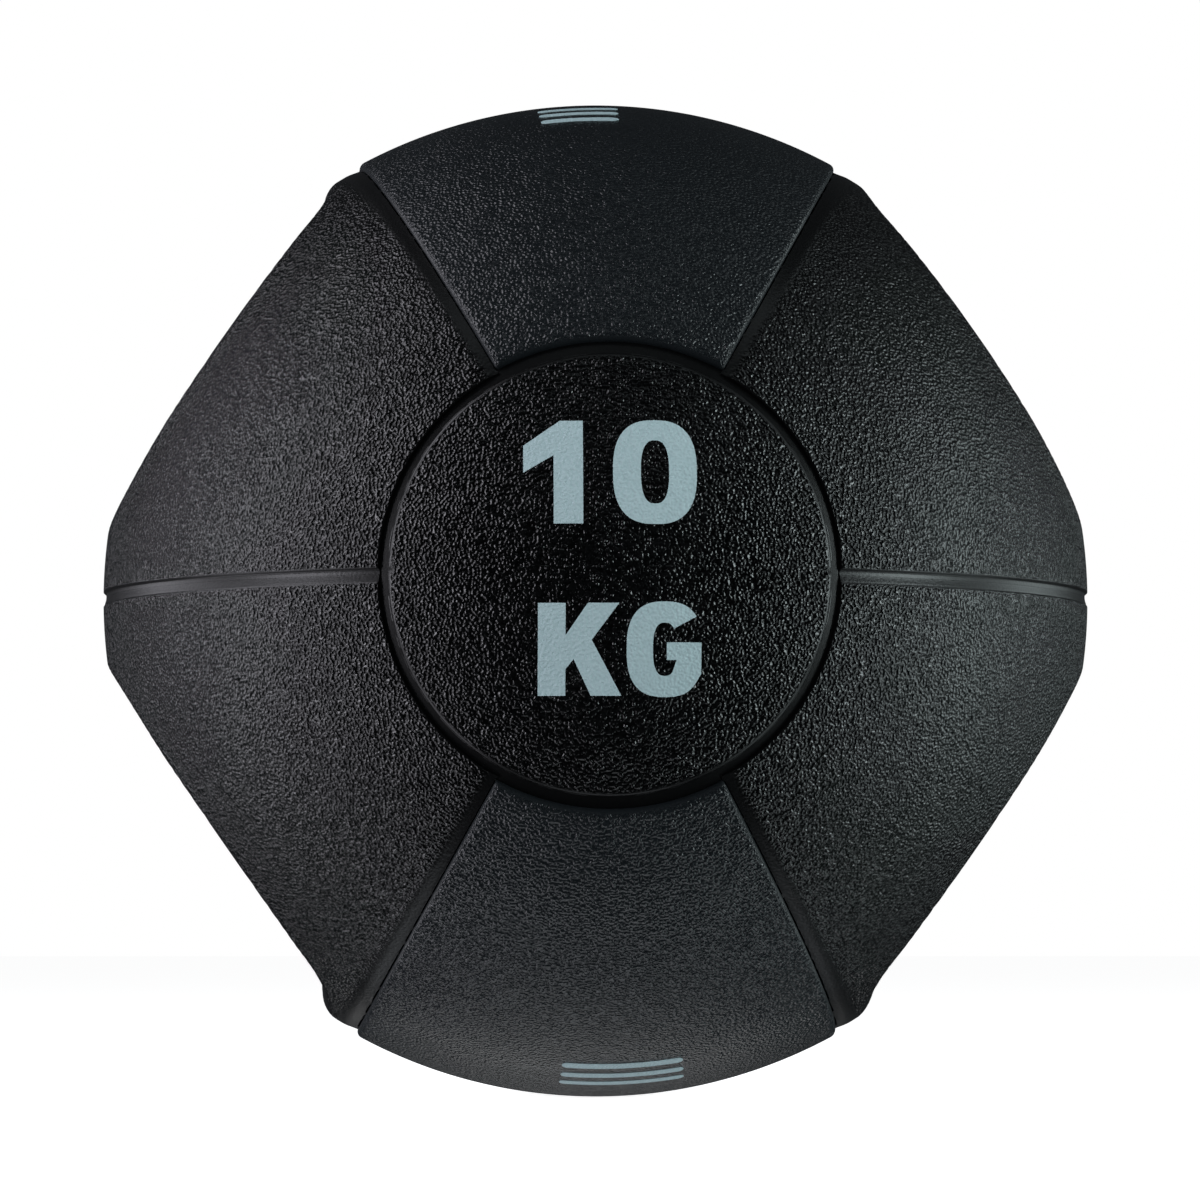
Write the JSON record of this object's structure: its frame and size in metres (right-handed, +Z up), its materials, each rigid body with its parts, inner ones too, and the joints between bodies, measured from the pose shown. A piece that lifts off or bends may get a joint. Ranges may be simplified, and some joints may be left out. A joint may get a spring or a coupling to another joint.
{
  "type": "medicine ball",
  "caption": "Round rubber medicine ball with a grip bar on each side, scooped hand holes behind the bars, grey bands and domed end discs.",
  "frame": {"origin": "centre of the ball, which is the centre of its bounding box", "axes": "+X through the middle of the right grip bar, -Y out of the front weight disc, +Z up through the middle of the upper grey band; the grip bars run along Y"},
  "size_m": [0.2778, 0.278, 0.28],
  "materials": {
    "black_rubber": "matte moulded rubber with a fine pebble grain",
    "grey_rubber": "matte moulded rubber with a fine pebble grain",
    "bladder_rubber": "plain moulded bladder rubber",
    "plug_rubber": "plain moulded rubber",
    "filling": "packed mix of rubber crumb and sand",
    "printed_ink": "thin pale grey pad-printed ink over the grain"
  },
  "bodies": {
    "root": {"upper_shell": "black_rubber", "lower_shell": "black_rubber", "upper_band": "grey_rubber", "lower_band": "grey_rubber", "filling_bladder": "bladder_rubber", "bladder_plug": "plug_rubber", "weight_filling": "filling"}
  },
  "joints": []
}
